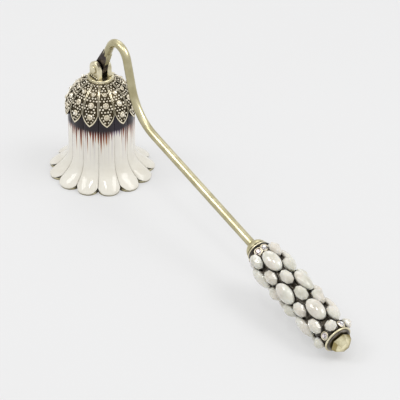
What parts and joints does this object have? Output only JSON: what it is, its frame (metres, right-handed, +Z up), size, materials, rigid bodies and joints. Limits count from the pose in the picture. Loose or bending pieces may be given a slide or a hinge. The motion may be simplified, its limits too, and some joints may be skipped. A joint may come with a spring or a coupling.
{
  "type": "candle snuffer",
  "caption": "Candle snuffer with a flared flower bell in ivory enamel under a jewelled leaf calyx, hinged in a clevis to a hooked rod with an opal-studded grip",
  "frame": {"origin": "middle of the bell's mouth, on the surface that the bell stands on", "axes": "+X from the bell towards the grip, +Z up out of the surface, hinge axis along Y; millimetres in the source"},
  "size_m": [0.1711, 0.0417, 0.0626],
  "materials": {
    "antique_gold": "satin antiqued pale gold plate",
    "antique_pewter": "cast white metal, antiqued dark in the recesses",
    "blackened_metal": "blackened cast white metal with worn brims",
    "ivory_enamel": "glossy ivory enamel, dark aubergine at the top",
    "white_opal": "milky white opal glass, polished",
    "clear_crystal": "clear cut crystal with foil behind",
    "champagne_crystal": "champagne crystal with foil behind",
    "plain_steel": "plain steel"
  },
  "bodies": {
    "bell": {"bell_casting": "antique_gold", "petal_enamel_01": "ivory_enamel", "petal_enamel_02": "ivory_enamel", "petal_enamel_03": "ivory_enamel", "petal_enamel_04": "ivory_enamel", "petal_enamel_05": "ivory_enamel", "petal_enamel_06": "ivory_enamel", "petal_enamel_07": "ivory_enamel", "petal_enamel_08": "ivory_enamel", "petal_enamel_09": "ivory_enamel", "petal_enamel_10": "ivory_enamel", "petal_enamel_11": "ivory_enamel", "petal_enamel_12": "ivory_enamel", "petal_enamel_13": "ivory_enamel", "calyx_cap": "antique_pewter", "calyx_stones": "champagne_crystal", "calyx_grains": "champagne_crystal", "clevis": "antique_gold", "hinge_pin": "antique_gold", "stud_washer": "plain_steel", "stud_nut": "plain_steel"},
    "handle": {"rod": "antique_gold", "front_ferrule": "antique_gold", "front_trim_ring": "antique_gold", "grip_sleeve": "blackened_metal", "oval_opals": "white_opal", "pointed_opals": "white_opal", "front_crystals": "clear_crystal", "rear_crystals": "clear_crystal", "rear_trim_ring": "antique_gold", "rear_plug": "blackened_metal", "end_finial": "antique_gold"}
  },
  "joints": [
    {"name": "handle_hinge", "type": "hinge", "parent": "bell", "child": "handle", "pos_m": [0, 0, 0.0456], "axis": [0, -1, 0], "range_deg": [-38, 130]}
  ]
}
